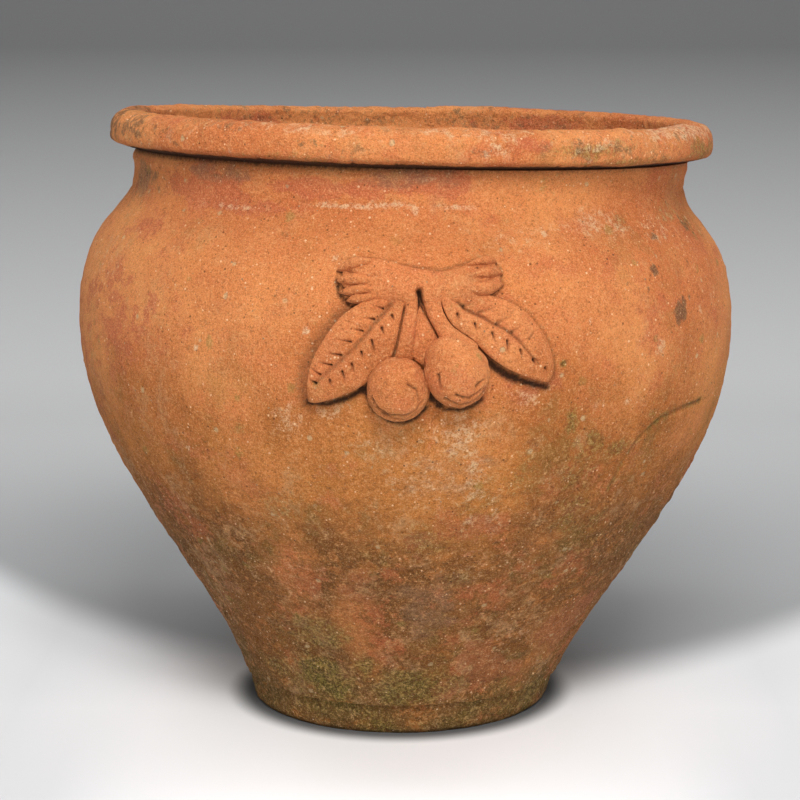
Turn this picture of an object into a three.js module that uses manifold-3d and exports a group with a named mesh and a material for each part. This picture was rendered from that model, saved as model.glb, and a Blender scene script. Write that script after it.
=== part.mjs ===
// A hand-built terracotta garden jar with a spray of fruit and leaves luted to its front.
//
// Millimetres, +Z up. The origin is the centre of the foot's underside, and the front faces -Y.
// The jar is built as a potter builds a large one: a floor slab, a lower and an upper wall section,
// a neck collar, a rolled rim band, and seven modelled sprig pieces stuck on with slip.
// Every joint between two pieces is a slip joint of SLIP millimetres.

import * as THREE from "three";
import { mergeVertices } from "three/addons/utils/BufferGeometryUtils.js";
import Module from "manifold-3d";

const wasm = await Module();
wasm.setup();

// ---- Driving dimensions -------------------------------------------------------------------------

const SLIP = 0.3; // clearance of every joint, where the slip is
const WALL_THICKNESS = 17;
const SEGMENTS = 64; // facets around the jar
const PAD_FACETS = { around: 20, along: 16 };
const PAD_FULLNESS = 0.45; // 1 is a sharp ridge, less is a fuller dome

// The floor slab, whose edge shows as the foot band. The wall stands on its outer part, and its middle
// rises one slip joint higher, inside the wall by seatInset.
const FLOOR = { thickness: 23, lowerRadius: 107, upperRadius: 112, edgeRound: 2.5, seatInset: 2 };
const DRAIN = { count: 3, radius: 10, ringRadius: 52 };

// The wall's outside line: two Bezier spans, foot to belly and belly to waist.
const WALL_FOOT_OVERHANG = 3.2; // how far the wall's lower edge stands out past the slab
const LOWER_SPAN = { rise: 250, startAngle: 20, startHandle: 73, endHandle: 95 };
const BELLY_RADIUS = 230;
const UPPER_SPAN = { rise: 105, startHandle: 79, endHandle: 34 };
const WAIST_RADIUS = 192.8;

// Where the sections meet.
const WALL_JOINT_BELOW_BELLY = 68;
const NECK_JOINT_BELOW_WAIST = 8;
const NECK_RISE = 14.4; // waist to the underside of the rim
const NECK_FLARE = 5; // how far the neck opens again between the waist and the rim

// The rim band, measured outwards from the top of the neck and upwards from its own underside.
const RIM = { height: 25.6, overhang: 12, bevelOut: 6.5, bevelUp: 3.3, widestUp: 11.2, crestIn: 15 };
const LIP = { width: 9, drop: 5 }; // the softened inner edge of the mouth
const MOUTH_BELLY = 5; // how far the mouth's inner face bulges between lip and neck

// The jar leans and its top has slumped to the right, as a hand-thrown one does in drying.
const LEAN = 9;
const SWAY = 2.7;
const RIM_TILT = 1.41;
const TILT_START_BELOW_BELLY = 118;
const TILT_RISE = 249; // height over which the tilt builds up

// The sprig, in wall coordinates: across is an arc length at the belly, up is from the belly height.
// A pad lies between two edges that share their first and last points. Left is the left hand edge
// for someone walking from first to last. Stand is how far its middle stands off the wall.
const TWIG = {
  left: [[-44, 52], [-40, 57], [-29, 60], [-12, 60], [6, 57], [22, 56], [40, 59], [53, 62], [62, 54]],
  right: [[-44, 52], [-40, 47], [-26, 47], [-8, 47], [10, 47], [30, 47], [46, 46], [57, 47], [62, 54]],
  stand: 11,
};
const SNAG = {
  left: [[-40, 43], [-36, 48], [-26, 50], [-14, 50]],
  right: [[-40, 43], [-34, 41], [-24, 43], [-14, 50]],
  stand: 7,
};
const FRUITS = {
  left_fruit: { centre: [-5, -10], radius: 19.2, seat: 5 },
  right_fruit: { centre: [31, 0], radius: 20, seat: 5 },
};
const STALKS = {
  left_stalk: {
    left: [[3.5, 46], [7, 38], [6.5, 22], [3.5, 8], [-1, 5]],
    right: [[3.5, 46], [0, 38], [-3.5, 22], [-6, 9], [-1, 5]],
    stand: 8.5,
  },
  right_stalk: {
    left: [[15, 46], [21, 40], [26, 30], [33, 21], [27, 15]],
    right: [[15, 46], [11, 38], [15, 28], [20, 18], [27, 15]],
    stand: 8.5,
  },
};
const LEAVES = {
  left_leaf: {
    left: [[3, 48], [-1, 29], [-11, 7], [-29, -11], [-48, -19], [-62, -21]],
    right: [[3, 48], [-20, 43], [-41, 32], [-54, 13], [-62, -7], [-62, -21]],
    stand: 8.5,
  },
  right_leaf: {
    left: [[20, 47], [38, 48], [62, 42], [81, 29], [93, 10], [93, -9]],
    right: [[20, 47], [24, 33], [33, 23], [50, 11], [68, -1], [93, -9]],
    stand: 8.5,
  },
};

// Colours of the fired clay.
const CLAY = new THREE.Color(0.62, 0.27, 0.12);
const STAINED_CLAY = new THREE.Color(0.33, 0.2, 0.09);
const PALE_CLAY = new THREE.Color(0.66, 0.33, 0.17);
const CLAY_ROUGHNESS = 0.92;

// ---- Heights and radii that follow from them ----------------------------------------------------

const WALL_BASE = FLOOR.thickness + SLIP;
const BELLY_HEIGHT = FLOOR.thickness + LOWER_SPAN.rise;
const WAIST_HEIGHT = BELLY_HEIGHT + UPPER_SPAN.rise;
const WALL_JOINT = BELLY_HEIGHT - WALL_JOINT_BELOW_BELLY;
const NECK_JOINT = WAIST_HEIGHT - NECK_JOINT_BELOW_WAIST;
const RIM_BASE = WAIST_HEIGHT + NECK_RISE;
const OVERALL_HEIGHT = RIM_BASE + RIM.height;
const NECK_TOP_RADIUS = WAIST_RADIUS + NECK_FLARE;

// ---- The wall's outline -------------------------------------------------------------------------

// Outside line of the wall from the slab to the rim, as points (radius, height).
function outsideLine() {
  const start = new THREE.Vector2(FLOOR.upperRadius + WALL_FOOT_OVERHANG, FLOOR.thickness);
  const belly = new THREE.Vector2(BELLY_RADIUS, BELLY_HEIGHT);
  const waist = new THREE.Vector2(WAIST_RADIUS, WAIST_HEIGHT);
  const neckTop = new THREE.Vector2(NECK_TOP_RADIUS, RIM_BASE);
  const angle = THREE.MathUtils.degToRad(LOWER_SPAN.startAngle);
  const rising = new THREE.Vector2(Math.sin(angle), Math.cos(angle));
  const up = new THREE.Vector2(0, 1);
  const path = new THREE.CurvePath();
  path.add(new THREE.CubicBezierCurve(
    start,
    start.clone().addScaledVector(rising, LOWER_SPAN.startHandle),
    belly.clone().addScaledVector(up, -LOWER_SPAN.endHandle),
    belly,
  ));
  path.add(new THREE.CubicBezierCurve(
    belly,
    belly.clone().addScaledVector(up, UPPER_SPAN.startHandle),
    waist.clone().addScaledVector(up, -UPPER_SPAN.endHandle),
    waist,
  ));
  path.add(new THREE.QuadraticBezierCurve(
    waist,
    waist.clone().addScaledVector(up, NECK_RISE / 2),
    neckTop,
  ));
  return path.getPoints(60);
}

// Unit vector square to a line of points, pointing away from the axis.
function outward(line, i) {
  const before = line[Math.max(i - 1, 0)];
  const after = line[Math.min(i + 1, line.length - 1)];
  const along = after.clone().sub(before).normalize();
  return new THREE.Vector2(along.y, -along.x);
}

const OUTSIDE = outsideLine();
const INSIDE = OUTSIDE.map((p, i) => p.clone().addScaledVector(outward(OUTSIDE, i), -WALL_THICKNESS));

// Index and share of the stretch of a rising line that holds this height.
function stretchAt(line, height) {
  const found = line.findIndex((p, i) => i > 0 && p.y >= height);
  const i = found < 0 ? line.length - 1 : found;
  const share = (height - line[i - 1].y) / (line[i].y - line[i - 1].y);
  return { i, share };
}

function radiusAt(line, height) {
  const { i, share } = stretchAt(line, height);
  return THREE.MathUtils.lerp(line[i - 1].x, line[i].x, share);
}

// ---- Shaping tools ------------------------------------------------------------------------------

// Moves a geometry's points one by one.
function reshape(geometry, move) {
  const places = geometry.getAttribute("position");
  const point = new THREE.Vector3();
  for (let i = 0; i < places.count; i++) {
    point.fromBufferAttribute(places, i);
    move(point);
    places.setXYZ(i, point.x, point.y, point.z);
  }
  return geometry;
}

// The lean and the slumped top, which every piece shares, so that joints stay closed.
function slump(point) {
  const share = point.z / OVERALL_HEIGHT;
  const tiltShare = THREE.MathUtils.smoothstep(
    point.z,
    BELLY_HEIGHT - TILT_START_BELOW_BELLY,
    BELLY_HEIGHT - TILT_START_BELOW_BELLY + TILT_RISE,
  );
  point.z -= point.x * Math.tan(THREE.MathUtils.degToRad(RIM_TILT) * tiltShare);
  point.x += LEAN * share + SWAY * Math.sin(2 * Math.PI * share);
}

// Turns a profile of (radius, height) points round the jar's axis.
function turned(profile) {
  return new THREE.LatheGeometry(profile, SEGMENTS).rotateX(Math.PI / 2);
}

// A manifold-3d solid of a closed geometry.
function solidOf(geometry) {
  const bare = geometry.clone();
  bare.deleteAttribute("normal");
  bare.deleteAttribute("uv");
  const merged = mergeVertices(bare, 1e-4);
  return new wasm.Manifold(new wasm.Mesh({
    numProp: 3,
    vertProperties: merged.getAttribute("position").array,
    triVerts: new Uint32Array(merged.index.array),
  }));
}

// The geometry of the largest body of a manifold-3d solid.
function geometryOf(solid) {
  const largest = solid.decompose().reduce((a, b) => (b.volume() > a.volume() ? b : a));
  const { vertProperties, triVerts } = largest.getMesh();
  return new THREE.BufferGeometry()
    .setAttribute("position", new THREE.BufferAttribute(vertProperties, 3))
    .setIndex(new THREE.BufferAttribute(triVerts, 1));
}

function evenHeights(low, high, count) {
  return Array.from({ length: count + 1 }, (_, i) => THREE.MathUtils.lerp(low, high, i / count));
}

// ---- The jar's sections -------------------------------------------------------------------------

function floorSlab() {
  const { thickness, lowerRadius, upperRadius, edgeRound, seatInset } = FLOOR;
  const seatRadius = radiusAt(INSIDE, WALL_BASE) - seatInset;
  const disc = solidOf(turned([
    new THREE.Vector2(0, 0),
    new THREE.Vector2(lowerRadius - edgeRound, 0),
    new THREE.Vector2(lowerRadius, edgeRound),
    new THREE.Vector2(upperRadius, thickness),
    new THREE.Vector2(seatRadius, thickness),
    new THREE.Vector2(seatRadius - SLIP, WALL_BASE),
    new THREE.Vector2(0, WALL_BASE),
  ]));
  const drill = Array.from({ length: DRAIN.count }, (_, i) => {
    const angle = (2 * Math.PI * (i + 0.25)) / DRAIN.count;
    const hole = new THREE.CylinderGeometry(DRAIN.radius, DRAIN.radius, 3 * thickness, 20);
    hole.rotateX(Math.PI / 2);
    hole.translate(DRAIN.ringRadius * Math.cos(angle), DRAIN.ringRadius * Math.sin(angle), 0);
    return solidOf(hole);
  });
  return geometryOf(drill.reduce((rest, hole) => rest.subtract(hole), disc));
}

// A ring of wall between two heights, its outside and inside following the wall's lines.
function wallRing(low, high, steps) {
  const heights = evenHeights(low, high, steps);
  const outside = heights.map((z) => new THREE.Vector2(radiusAt(OUTSIDE, z), z));
  const inside = heights.map((z) => new THREE.Vector2(radiusAt(INSIDE, z), z)).reverse();
  return turned([...outside, ...inside, outside[0].clone()]);
}

// The rolled rim: a bevelled underside, a full round outer face, and a lip that opens the mouth.
function rimBand() {
  const base = RIM_BASE + SLIP;
  const throat = radiusAt(INSIDE, RIM_BASE);
  const widest = new THREE.Vector2(NECK_TOP_RADIUS + RIM.overhang, base + RIM.widestUp);
  const crest = new THREE.Vector2(widest.x - RIM.crestIn, OVERALL_HEIGHT);
  const corner = new THREE.Vector2(NECK_TOP_RADIUS + RIM.bevelOut, base + RIM.bevelUp);
  const lipInner = new THREE.Vector2(crest.x - LIP.width, crest.y - LIP.drop);
  const outer = new THREE.QuadraticBezierCurve(corner, new THREE.Vector2(widest.x, corner.y), widest);
  const roll = new THREE.EllipseCurve(
    crest.x, widest.y, RIM.crestIn, crest.y - widest.y, 0, Math.PI / 2, false, 0,
  );
  const lip = new THREE.QuadraticBezierCurve(crest, new THREE.Vector2(lipInner.x, crest.y), lipInner);
  const mouth = new THREE.QuadraticBezierCurve(
    lipInner,
    new THREE.Vector2((lipInner.x + throat) / 2 + MOUTH_BELLY, base + RIM.widestUp / 2),
    new THREE.Vector2(throat, base),
  );
  const profile = [
    new THREE.Vector2(throat, base),
    new THREE.Vector2(NECK_TOP_RADIUS, base),
    ...outer.getPoints(2),
    ...roll.getPoints(5).slice(1),
    ...lip.getPoints(3).slice(1),
    ...mouth.getPoints(3).slice(1),
  ];
  return turned(profile);
}

// ---- The sprig ----------------------------------------------------------------------------------

// A point standing off the outside of the wall.
function onWall(across, up, off) {
  const height = BELLY_HEIGHT + up;
  const { i, share } = stretchAt(OUTSIDE, height);
  const normal = outward(OUTSIDE, i - 1).lerp(outward(OUTSIDE, i), share).normalize();
  const radius = radiusAt(OUTSIDE, height) + off * normal.x;
  const angle = across / BELLY_RADIUS;
  return new THREE.Vector3(
    radius * Math.sin(angle),
    -radius * Math.cos(angle),
    height + off * normal.y,
  );
}

// A flat-backed pad of soft clay pressed on the wall, domed between its two edges.
// grow swells it, to cut a joint of that width in a neighbour.
function pad({ left, right, stand }, grow = 0) {
  const [leftEdge, rightEdge] = [left, right].map((edge) =>
    new THREE.SplineCurve(edge.map(([across, up]) => new THREE.Vector2(across, up))));
  const lengthwise = leftEdge.getPoint(1).sub(leftEdge.getPoint(0)).normalize();
  const geometry = new THREE.SphereGeometry(1, PAD_FACETS.around, PAD_FACETS.along);
  reshape(geometry, (point) => {
    const ring = Math.hypot(point.x, point.z) || 1;
    const side = point.x / ring;
    const lift = point.z / ring;
    const t = Math.acos(THREE.MathUtils.clamp(point.y, -1, 1)) / Math.PI;
    const onLeft = leftEdge.getPointAt(t);
    const onRight = rightEdge.getPointAt(t);
    const sideways = onLeft.clone().sub(onRight).normalize();
    const place = onRight.lerp(onLeft, (1 + side) / 2)
      .addScaledVector(sideways, side * grow)
      .addScaledVector(lengthwise, (2 * t - 1) * grow);
    const dome = Math.pow(Math.max(lift, 0) * Math.sin(Math.PI * t), PAD_FULLNESS);
    const off = lift > 0 ? SLIP + grow + stand * dome : SLIP - grow;
    point.copy(onWall(place.x, place.y, off));
  });
  return solidOf(geometry);
}

// A round fruit seated on the wall, its back pressed flat.
function ball({ centre, radius, seat }, grow = 0) {
  const geometry = new THREE.SphereGeometry(radius + grow, 22, 14).rotateX(Math.PI / 2);
  reshape(geometry, (point) => {
    const off = Math.max(seat + point.z, SLIP - grow);
    point.copy(onWall(centre[0] + point.x, centre[1] + point.y, off));
  });
  return solidOf(geometry);
}

// The cut branch and the snag that hangs below its left end, pinched from one lump.
function twig(_, grow = 0) {
  return pad(TWIG, grow).add(pad(SNAG, grow));
}

// Cuts a piece back from pieces already on the wall, leaving a slip joint.
function cutBack(solid, neighbours) {
  return neighbours.reduce((rest, neighbour) => rest.subtract(neighbour), solid);
}

// Twig and fruits lie on top, the stalks butt against them, and the leaves tuck in beneath the rest.
function sprigPieces() {
  const made = {};
  const placed = [];
  const place = (name, make, piece) => {
    made[name] = geometryOf(cutBack(make(piece), placed));
    placed.push(make(piece, SLIP));
  };
  place("twig", twig);
  for (const [name, fruit] of Object.entries(FRUITS)) place(name, ball, fruit);
  for (const [name, stalk] of Object.entries(STALKS)) place(name, pad, stalk);
  for (const [name, leaf] of Object.entries(LEAVES)) place(name, pad, leaf);
  return made;
}

// ---- The object ---------------------------------------------------------------------------------

const clay = (color) => new THREE.MeshStandardMaterial({ color, roughness: CLAY_ROUGHNESS, metalness: 0 });

function addPiece(group, name, geometry, color) {
  const mesh = new THREE.Mesh(reshape(geometry, slump), clay(color));
  mesh.name = name;
  group.add(mesh);
}

const jar = new THREE.Group();
addPiece(jar, "floor_slab", floorSlab(), STAINED_CLAY);
addPiece(jar, "lower_wall", wallRing(WALL_BASE, WALL_JOINT, 9), CLAY);
addPiece(jar, "upper_wall", wallRing(WALL_JOINT + SLIP, NECK_JOINT, 10), CLAY);
addPiece(jar, "neck_collar", wallRing(NECK_JOINT + SLIP, RIM_BASE, 3), CLAY);
addPiece(jar, "rim_band", rimBand(), PALE_CLAY);
for (const [name, geometry] of Object.entries(sprigPieces())) addPiece(jar, name, geometry, PALE_CLAY);

export default jar;
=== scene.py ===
"""A weathered terracotta garden jar with a spray of fruit and leaves on its front.

Shapes are worked out in millimetres and written to the meshes in metres. Every piece of clay is
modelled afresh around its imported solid: turned or pressed with mesh operators, then given its
throwing marks, pits, chips and tool marks by moving its points, and painted with one clay recipe.
"""

import math

import bmesh
import bpy
import numpy as np
from mathutils import Matrix, Vector


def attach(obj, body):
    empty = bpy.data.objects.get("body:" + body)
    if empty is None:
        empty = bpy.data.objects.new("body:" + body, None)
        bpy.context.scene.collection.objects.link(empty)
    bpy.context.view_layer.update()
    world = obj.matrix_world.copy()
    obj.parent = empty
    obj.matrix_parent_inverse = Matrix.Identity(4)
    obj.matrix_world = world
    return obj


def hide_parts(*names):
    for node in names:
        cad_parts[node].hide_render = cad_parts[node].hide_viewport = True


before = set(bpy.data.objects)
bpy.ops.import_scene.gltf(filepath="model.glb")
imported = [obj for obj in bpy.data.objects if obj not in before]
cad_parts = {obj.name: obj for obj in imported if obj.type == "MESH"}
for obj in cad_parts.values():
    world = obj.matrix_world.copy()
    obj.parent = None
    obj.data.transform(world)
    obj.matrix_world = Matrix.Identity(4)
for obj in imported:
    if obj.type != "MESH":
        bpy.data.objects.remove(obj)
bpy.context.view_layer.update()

MM = 0.001
COARSE_STEPS = 96  # facets a profile is first spun to
FINE_CUTS = 7  # cuts that then split each of them

# ---- Sizes of the jar, the same as the solids' ----

WALL = 17.0
FLOOR_THICKNESS = 23.0
FOOT_RADII = (107.0, 112.0)
FOOT_EDGE_ROUND = 2.5
WALL_FOOT_RADIUS = 115.2
BELLY = (230.0, 273.0)  # radius, height
WAIST = (192.8, 378.0)
NECK_TOP = (197.8, 392.4)
CREST_HEIGHT = 418.0
WALL_JOINT = 205.0
NECK_JOINT = 370.0
DRAIN_RADIUS = 10.0
DRAIN_RING = 52.0
DRAIN_FLARE = 1.06  # how much wider a drain is at the drill's upper end
DRILL_LENGTH, DRILL_HEIGHT = 60.0, 11.0

LEAN = 9.0  # how far the top leans to the right
SWAY = 2.7  # how far the axis bows on its way up
RIM_TILT = math.radians(1.41)
TILT_START = 155.0
TILT_RISE = 249.0
SPRIG_LEAN = 4.0  # how far the lean carries the sprig


# ---- Noise ----

LATTICE = np.random.default_rng(11).uniform(-1, 1, (64, 64, 64))


def noise(points, lump, seed=0):
    """Smooth noise between about -1 and 1. lump is the size of its lumps, one for all or per axis."""
    q = np.asarray(points, float) / lump + 13.7 * seed + 31.3
    cell = np.floor(q).astype(int)
    f = q - cell
    f = f * f * (3 - 2 * f)
    total = np.zeros(len(q))
    for corner in np.ndindex(2, 2, 2):
        i = (cell + corner) % 64
        share = np.prod(np.where(corner, f, 1 - f), axis=1)
        total += share * LATTICE[i[:, 0], i[:, 1], i[:, 2]]
    return total


def rough_noise(points, lump, seed, octaves):
    """Noise with finer lumps added to it, each octave half the size and half the height."""
    total = sum(noise(points, lump / 2**k, seed + k) / 2**k for k in range(octaves))
    return total / (2 - 2 ** (1 - octaves))


def ramp(x, low, high):
    """Rises smoothly from 0 at low to 1 at high. low may be the larger."""
    t = np.clip((np.asarray(x, float) - low) / (high - low), 0, 1)
    return t * t * (3 - 2 * t)


# ---- The jar's outline ----


def bezier(points, steps):
    """Points along a Bezier curve of any degree."""
    p = np.array(points, float)[:, None, :]
    t = np.linspace(0, 1, steps + 1)[:, None]
    while len(p) > 1:
        p = (1 - t) * p[:-1] + t * p[1:]
    return p[0]


def wall_outline():
    """Radius and height of the wall's outside, from the foot to the top of the neck."""
    angle = math.radians(20)
    foot = np.array([WALL_FOOT_RADIUS, FLOOR_THICKNESS])
    belly, waist, top = np.array(BELLY), np.array(WAIST), np.array(NECK_TOP)
    rising = np.array([math.sin(angle), math.cos(angle)])
    up = np.array([0.0, 1.0])
    lower = bezier([foot, foot + 73 * rising, belly - 95 * up, belly], 160)
    upper = bezier([belly, belly + 79 * up, waist - 34 * up, waist], 120)
    neck = bezier([waist, waist + 7.2 * up, top], 24)
    return np.vstack([lower, upper[1:], neck[1:]])


OUTLINE = wall_outline()
SLOPE = np.gradient(OUTLINE[:, 0], OUTLINE[:, 1])


def wall_radius(z):
    return np.interp(z, OUTLINE[:, 1], OUTLINE[:, 0])


def wall_facing(z):
    """The outward direction of the wall at a height: its share along the radius and along Z."""
    slope = np.interp(z, OUTLINE[:, 1], SLOPE)
    size = np.sqrt(1 + slope**2)
    return 1 / size, -slope / size


def slump(p):
    """Leans the jar and drops the right side of its top, as it sagged in drying."""
    x, y, z = p.T
    share = z / CREST_HEIGHT
    tilt = RIM_TILT * ramp(z, TILT_START, TILT_START + TILT_RISE)
    sideways = LEAN * share + SWAY * np.sin(2 * np.pi * share)
    return np.stack([x + sideways, y, z - x * np.tan(tilt)], axis=1)


def on_wall(across, z, off):
    """Points standing off the wall. across is an arc length at the belly, measured from the front."""
    along_radius, along_z = wall_facing(z)
    radius = wall_radius(z) + off * along_radius
    angle = across / BELLY[0]
    return np.stack([radius * np.sin(angle), -radius * np.cos(angle), z + off * along_z], axis=1)


def round_jar(points):
    """Each point's distance from the axis, its angle from the front and that angle's arc length."""
    x, y, _ = points.T
    angle = np.arctan2(x, -y)
    return np.hypot(x, y), angle, angle * BELLY[0]


# ---- Mesh tools ----


def points_of(mesh, what="co"):
    flat = np.empty(3 * len(mesh.vertices))
    mesh.vertices.foreach_get(what, flat)
    return flat.reshape(-1, 3)


def put_points(mesh, points):
    mesh.vertices.foreach_set("co", np.ascontiguousarray(points, dtype=np.float32).ravel())
    mesh.update()


def mesh_from(shape, name):
    mesh = bpy.data.meshes.new(name)
    shape.to_mesh(mesh)
    shape.free()
    return mesh


def in_scene(name, data):
    made = bpy.data.objects.new(name, data)
    bpy.context.scene.collection.objects.link(made)
    return made


def turned(profile, name, closed=True):
    """Turns a profile of (radius, height) points round the jar's axis."""
    shape = bmesh.new()
    verts = [shape.verts.new((r, 0, z)) for r, z in profile]
    ends = verts[1:] + verts[:1] if closed else verts[1:]
    edges = [shape.edges.new(pair) for pair in zip(verts, ends)]
    bmesh.ops.spin(
        shape, geom=verts + edges, axis=(0, 0, 1), cent=(0, 0, 0), dvec=(0, 0, 0),
        angle=2 * math.pi, steps=COARSE_STEPS, use_merge=True,
    )
    bmesh.ops.remove_doubles(shape, verts=shape.verts, dist=1e-3)
    level = [
        e for e in shape.edges
        if abs(e.verts[0].co.z - e.verts[1].co.z) < 1e-4
        and abs(e.verts[0].co.xy.length - e.verts[1].co.xy.length) < 1e-3
    ]
    bmesh.ops.subdivide_edges(shape, edges=level, cuts=FINE_CUTS)
    bmesh.ops.remove_doubles(shape, verts=shape.verts, dist=1e-4)
    bmesh.ops.recalc_face_normals(shape, faces=shape.faces)
    mesh = mesh_from(shape, name)
    points = points_of(mesh)
    half = math.pi / COARSE_STEPS
    off_middle = np.mod(np.arctan2(points[:, 1], points[:, 0]), 2 * half) - half
    points[:, :2] *= (np.cos(off_middle) / math.cos(half))[:, None]
    put_points(mesh, points)
    return mesh


def travel(line):
    """How far along a line each of its points is."""
    return np.r_[0, np.cumsum(np.hypot(*np.diff(line, axis=0).T))]


def points_at(line, where):
    """Points this far along a line."""
    return np.stack([np.interp(where, travel(line), line[:, k]) for k in (0, 1)], axis=1)


def spaced(line, gap):
    """The same line with points about this far apart."""
    line = np.array(line, float)
    length = travel(line)[-1]
    return points_at(line, np.linspace(0, length, max(2, int(round(length / gap)) + 1)))


# ---- Lines of the sprig, as (arc length across, height) ----

LEFT_LEAF = {
    "left": [(0.5, 323), (-0.8, 314), (-3.2, 303), (-8, 283), (-17, 271.5), (-29, 262), (-43, 256),
             (-54, 252.5), (-60.5, 252.5)],
    "right": [(0.5, 323), (-18, 318), (-29, 312), (-40.5, 303.5), (-50.5, 289.5), (-57, 277),
              (-60, 265), (-60.5, 252.5)],
}
LEFT_MIDRIB = [(-8.7, 314.4), (-13.5, 307), (-19.3, 300.5), (-24.2, 294.1), (-31, 286.6),
               (-38.6, 279), (-44.4, 273.9), (-54, 264.8)]
LEFT_NICKS = [
    ((-14.2, 309.6), (-19.6, 311)), ((-19.3, 303.4), (-26.4, 304)), ((-26, 296.5), (-33, 297.4)),
    ((-32.8, 289.9), (-41, 291)), ((-38.6, 282), (-47.6, 282.8)), ((-44.4, 275.9), (-52.4, 277)),
    ((-51.2, 270), (-56, 272.3)), ((-54, 264.5), (-58.2, 266.5)),
]
LEFT_STABS = [
    ((-8.7, 305.8), (-6.8, 302.1)), ((-14.5, 298.6), (-13, 293.9)), ((-20.3, 291.2), (-17.9, 282)),
    ((-26.4, 284.2), (-25.2, 280)), ((-32.2, 277.1), (-30.7, 272.6)),
    ((-37.7, 272.4), (-35.4, 265.8)), ((-45.4, 267.2), (-44.2, 263.2)),
]
RIGHT_LEAF = {
    "left": [(17, 324), (30, 322), (40, 319.5), (52, 317.5), (66, 312.5), (77, 304.5), (86, 292),
             (91, 279), (91.5, 270), (88.5, 263.5)],
    "right": [(17, 324), (20.5, 314), (23, 307.5), (28, 300), (40, 291), (50, 281.5), (62, 273.5),
              (76, 267.5), (88.5, 263.5)],
}
RIGHT_MIDRIB = [(25, 318), (31, 313.4), (34.8, 309.7), (40.6, 306.9), (46.4, 304.6), (51.2, 301.4),
                (58, 298.6), (63.8, 294.5), (68.6, 290.3), (72.5, 285.6), (76.3, 280.8), (80.5, 277)]
RIGHT_STABS = [
    ((30.4, 306.9), (30.9, 302.5)), ((40.6, 301.4), (41.7, 297)), ((51.2, 295.9), (52.5, 290.4)),
    ((60.4, 291.2), (60.8, 282.4)), ((68.6, 285.6), (69.3, 281)), ((76.8, 279), (78, 276.8)),
    ((85, 273.8), (86.2, 272.4)),
]
RIGHT_GOUGES = [
    ((34.8, 312), (39, 312.8)), ((43.6, 308), (53.5, 310.4)), ((54.8, 301.6), (63, 305.3)),
    ((63.8, 296.4), (69, 298.8)), ((75, 291.8), (77.6, 295.4)),
]
TWIG = {
    "left": [(-42, 327), (-39, 333.5), (-31, 337), (-15, 336.3), (0, 333.3), (12, 331.6), (22, 331),
             (34, 333.3), (44, 337), (51, 338), (57, 335), (60, 328)],
    "right": [(-42, 327), (-40, 321), (-31, 318.5), (-18, 314), (-6, 310.5), (10, 309.5), (26, 310.5),
              (38, 315), (47, 316.8), (54, 318.5), (58.5, 322.5), (60, 328)],
}
TWIG_FINGERS = [  # the split ends: edges, height and seed
    ({"left": [(-46, 330.5), (-40, 334.6), (-30, 337), (-14, 333.5)],
      "right": [(-46, 330.5), (-38, 329.4), (-30, 330.8), (-14, 333.5)]}, 10.9, 11),
    ({"left": [(-45, 324.5), (-38, 328), (-28, 328), (-12, 324)],
      "right": [(-45, 324.5), (-38, 322), (-28, 321.4), (-12, 324)]}, 11.2, 12),
    ({"left": [(-43, 318), (-36, 321.4), (-26, 322.5), (-12, 320)],
      "right": [(-43, 318), (-36, 316.5), (-26, 317), (-12, 320)]}, 10.2, 13),
    ({"left": [(-38, 313.5), (-33, 317.2), (-24, 318.2), (-12, 317)],
      "right": [(-38, 313.5), (-32, 312), (-24, 313), (-12, 317)]}, 8.4, 21),
    ({"left": [(34, 333), (44, 337.2), (52, 338.8), (59, 336.5)],
      "right": [(34, 333), (44, 332.8), (53, 333.8), (59, 336.5)]}, 10.8, 14),
    ({"left": [(30, 326), (45, 331.8), (54, 333), (62, 330)],
      "right": [(30, 326), (46, 326), (55, 327), (62, 330)]}, 11.4, 18),
    ({"left": [(30, 321), (46, 325.4), (54, 326.4), (62, 324)],
      "right": [(30, 321), (44, 317), (53, 318.4), (62, 324)]}, 10.8, 19),
]
LEFT_STALK = {
    "left": [(3, 326), (6.3, 318), (6.8, 308), (6.2, 294), (4.8, 282), (0, 274)],
    "right": [(3, 326), (0, 316), (-2.2, 304), (-5, 290), (-7.2, 280), (0, 274)],
}
WEB = {
    "left": [(8, 312), (11, 307), (15.5, 299), (19.5, 291), (20, 284), (12, 275)],
    "right": [(8, 312), (5.5, 305), (4, 292), (3, 282), (12, 275)],
}
RIGHT_STALK = {
    "left": [(15, 326), (20.3, 316), (22.8, 307.5), (28, 300), (36, 294.5), (43, 288), (36, 280)],
    "right": [(15, 326), (10.6, 314), (12.8, 305.5), (17, 298), (19.6, 292), (19, 286), (36, 280)],
}
FRUIT_SEATS = {"left": (-4.9, 262.4, 18.8), "right": (30.2, 271.6, 19.6)}  # across, height, radius
FRUIT_FOLDS = {  # creases, measured from each fruit's middle
    "left": [
        [(-12, -8), (-6, -11.5), (2, -12.5), (9, -10), (14, -5)],
        [(-9, -11.5), (-3, -15), (5, -15.5), (11, -12)],
        [(-15, -3), (-12, -6.5)], [(6, 6), (11, 3), (12.5, -3)],
    ],
    "right": [
        [(-9, -12), (-1, -15.5), (8, -14), (13, -10)], [(-3, -9), (5, -11.5), (12, -7)],
        [(9, -4), (14, -1)], [(-13, 2), (-11.5, -6)],
    ],
}


# ---- Marks on the clay ----


def dent(across, z, marks):
    """Depth of round dents. Each mark is (degrees from the front, height, radius, depth)."""
    depth = np.zeros(len(z))
    for degrees, height, radius, deep in marks:
        d2 = ((across - math.radians(degrees) * BELLY[0]) ** 2 + (z - height) ** 2) / radius**2
        near = d2 < 1
        depth[near] = np.maximum(depth[near], deep * (1 - d2[near]) ** 1.5)
    return depth


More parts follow.
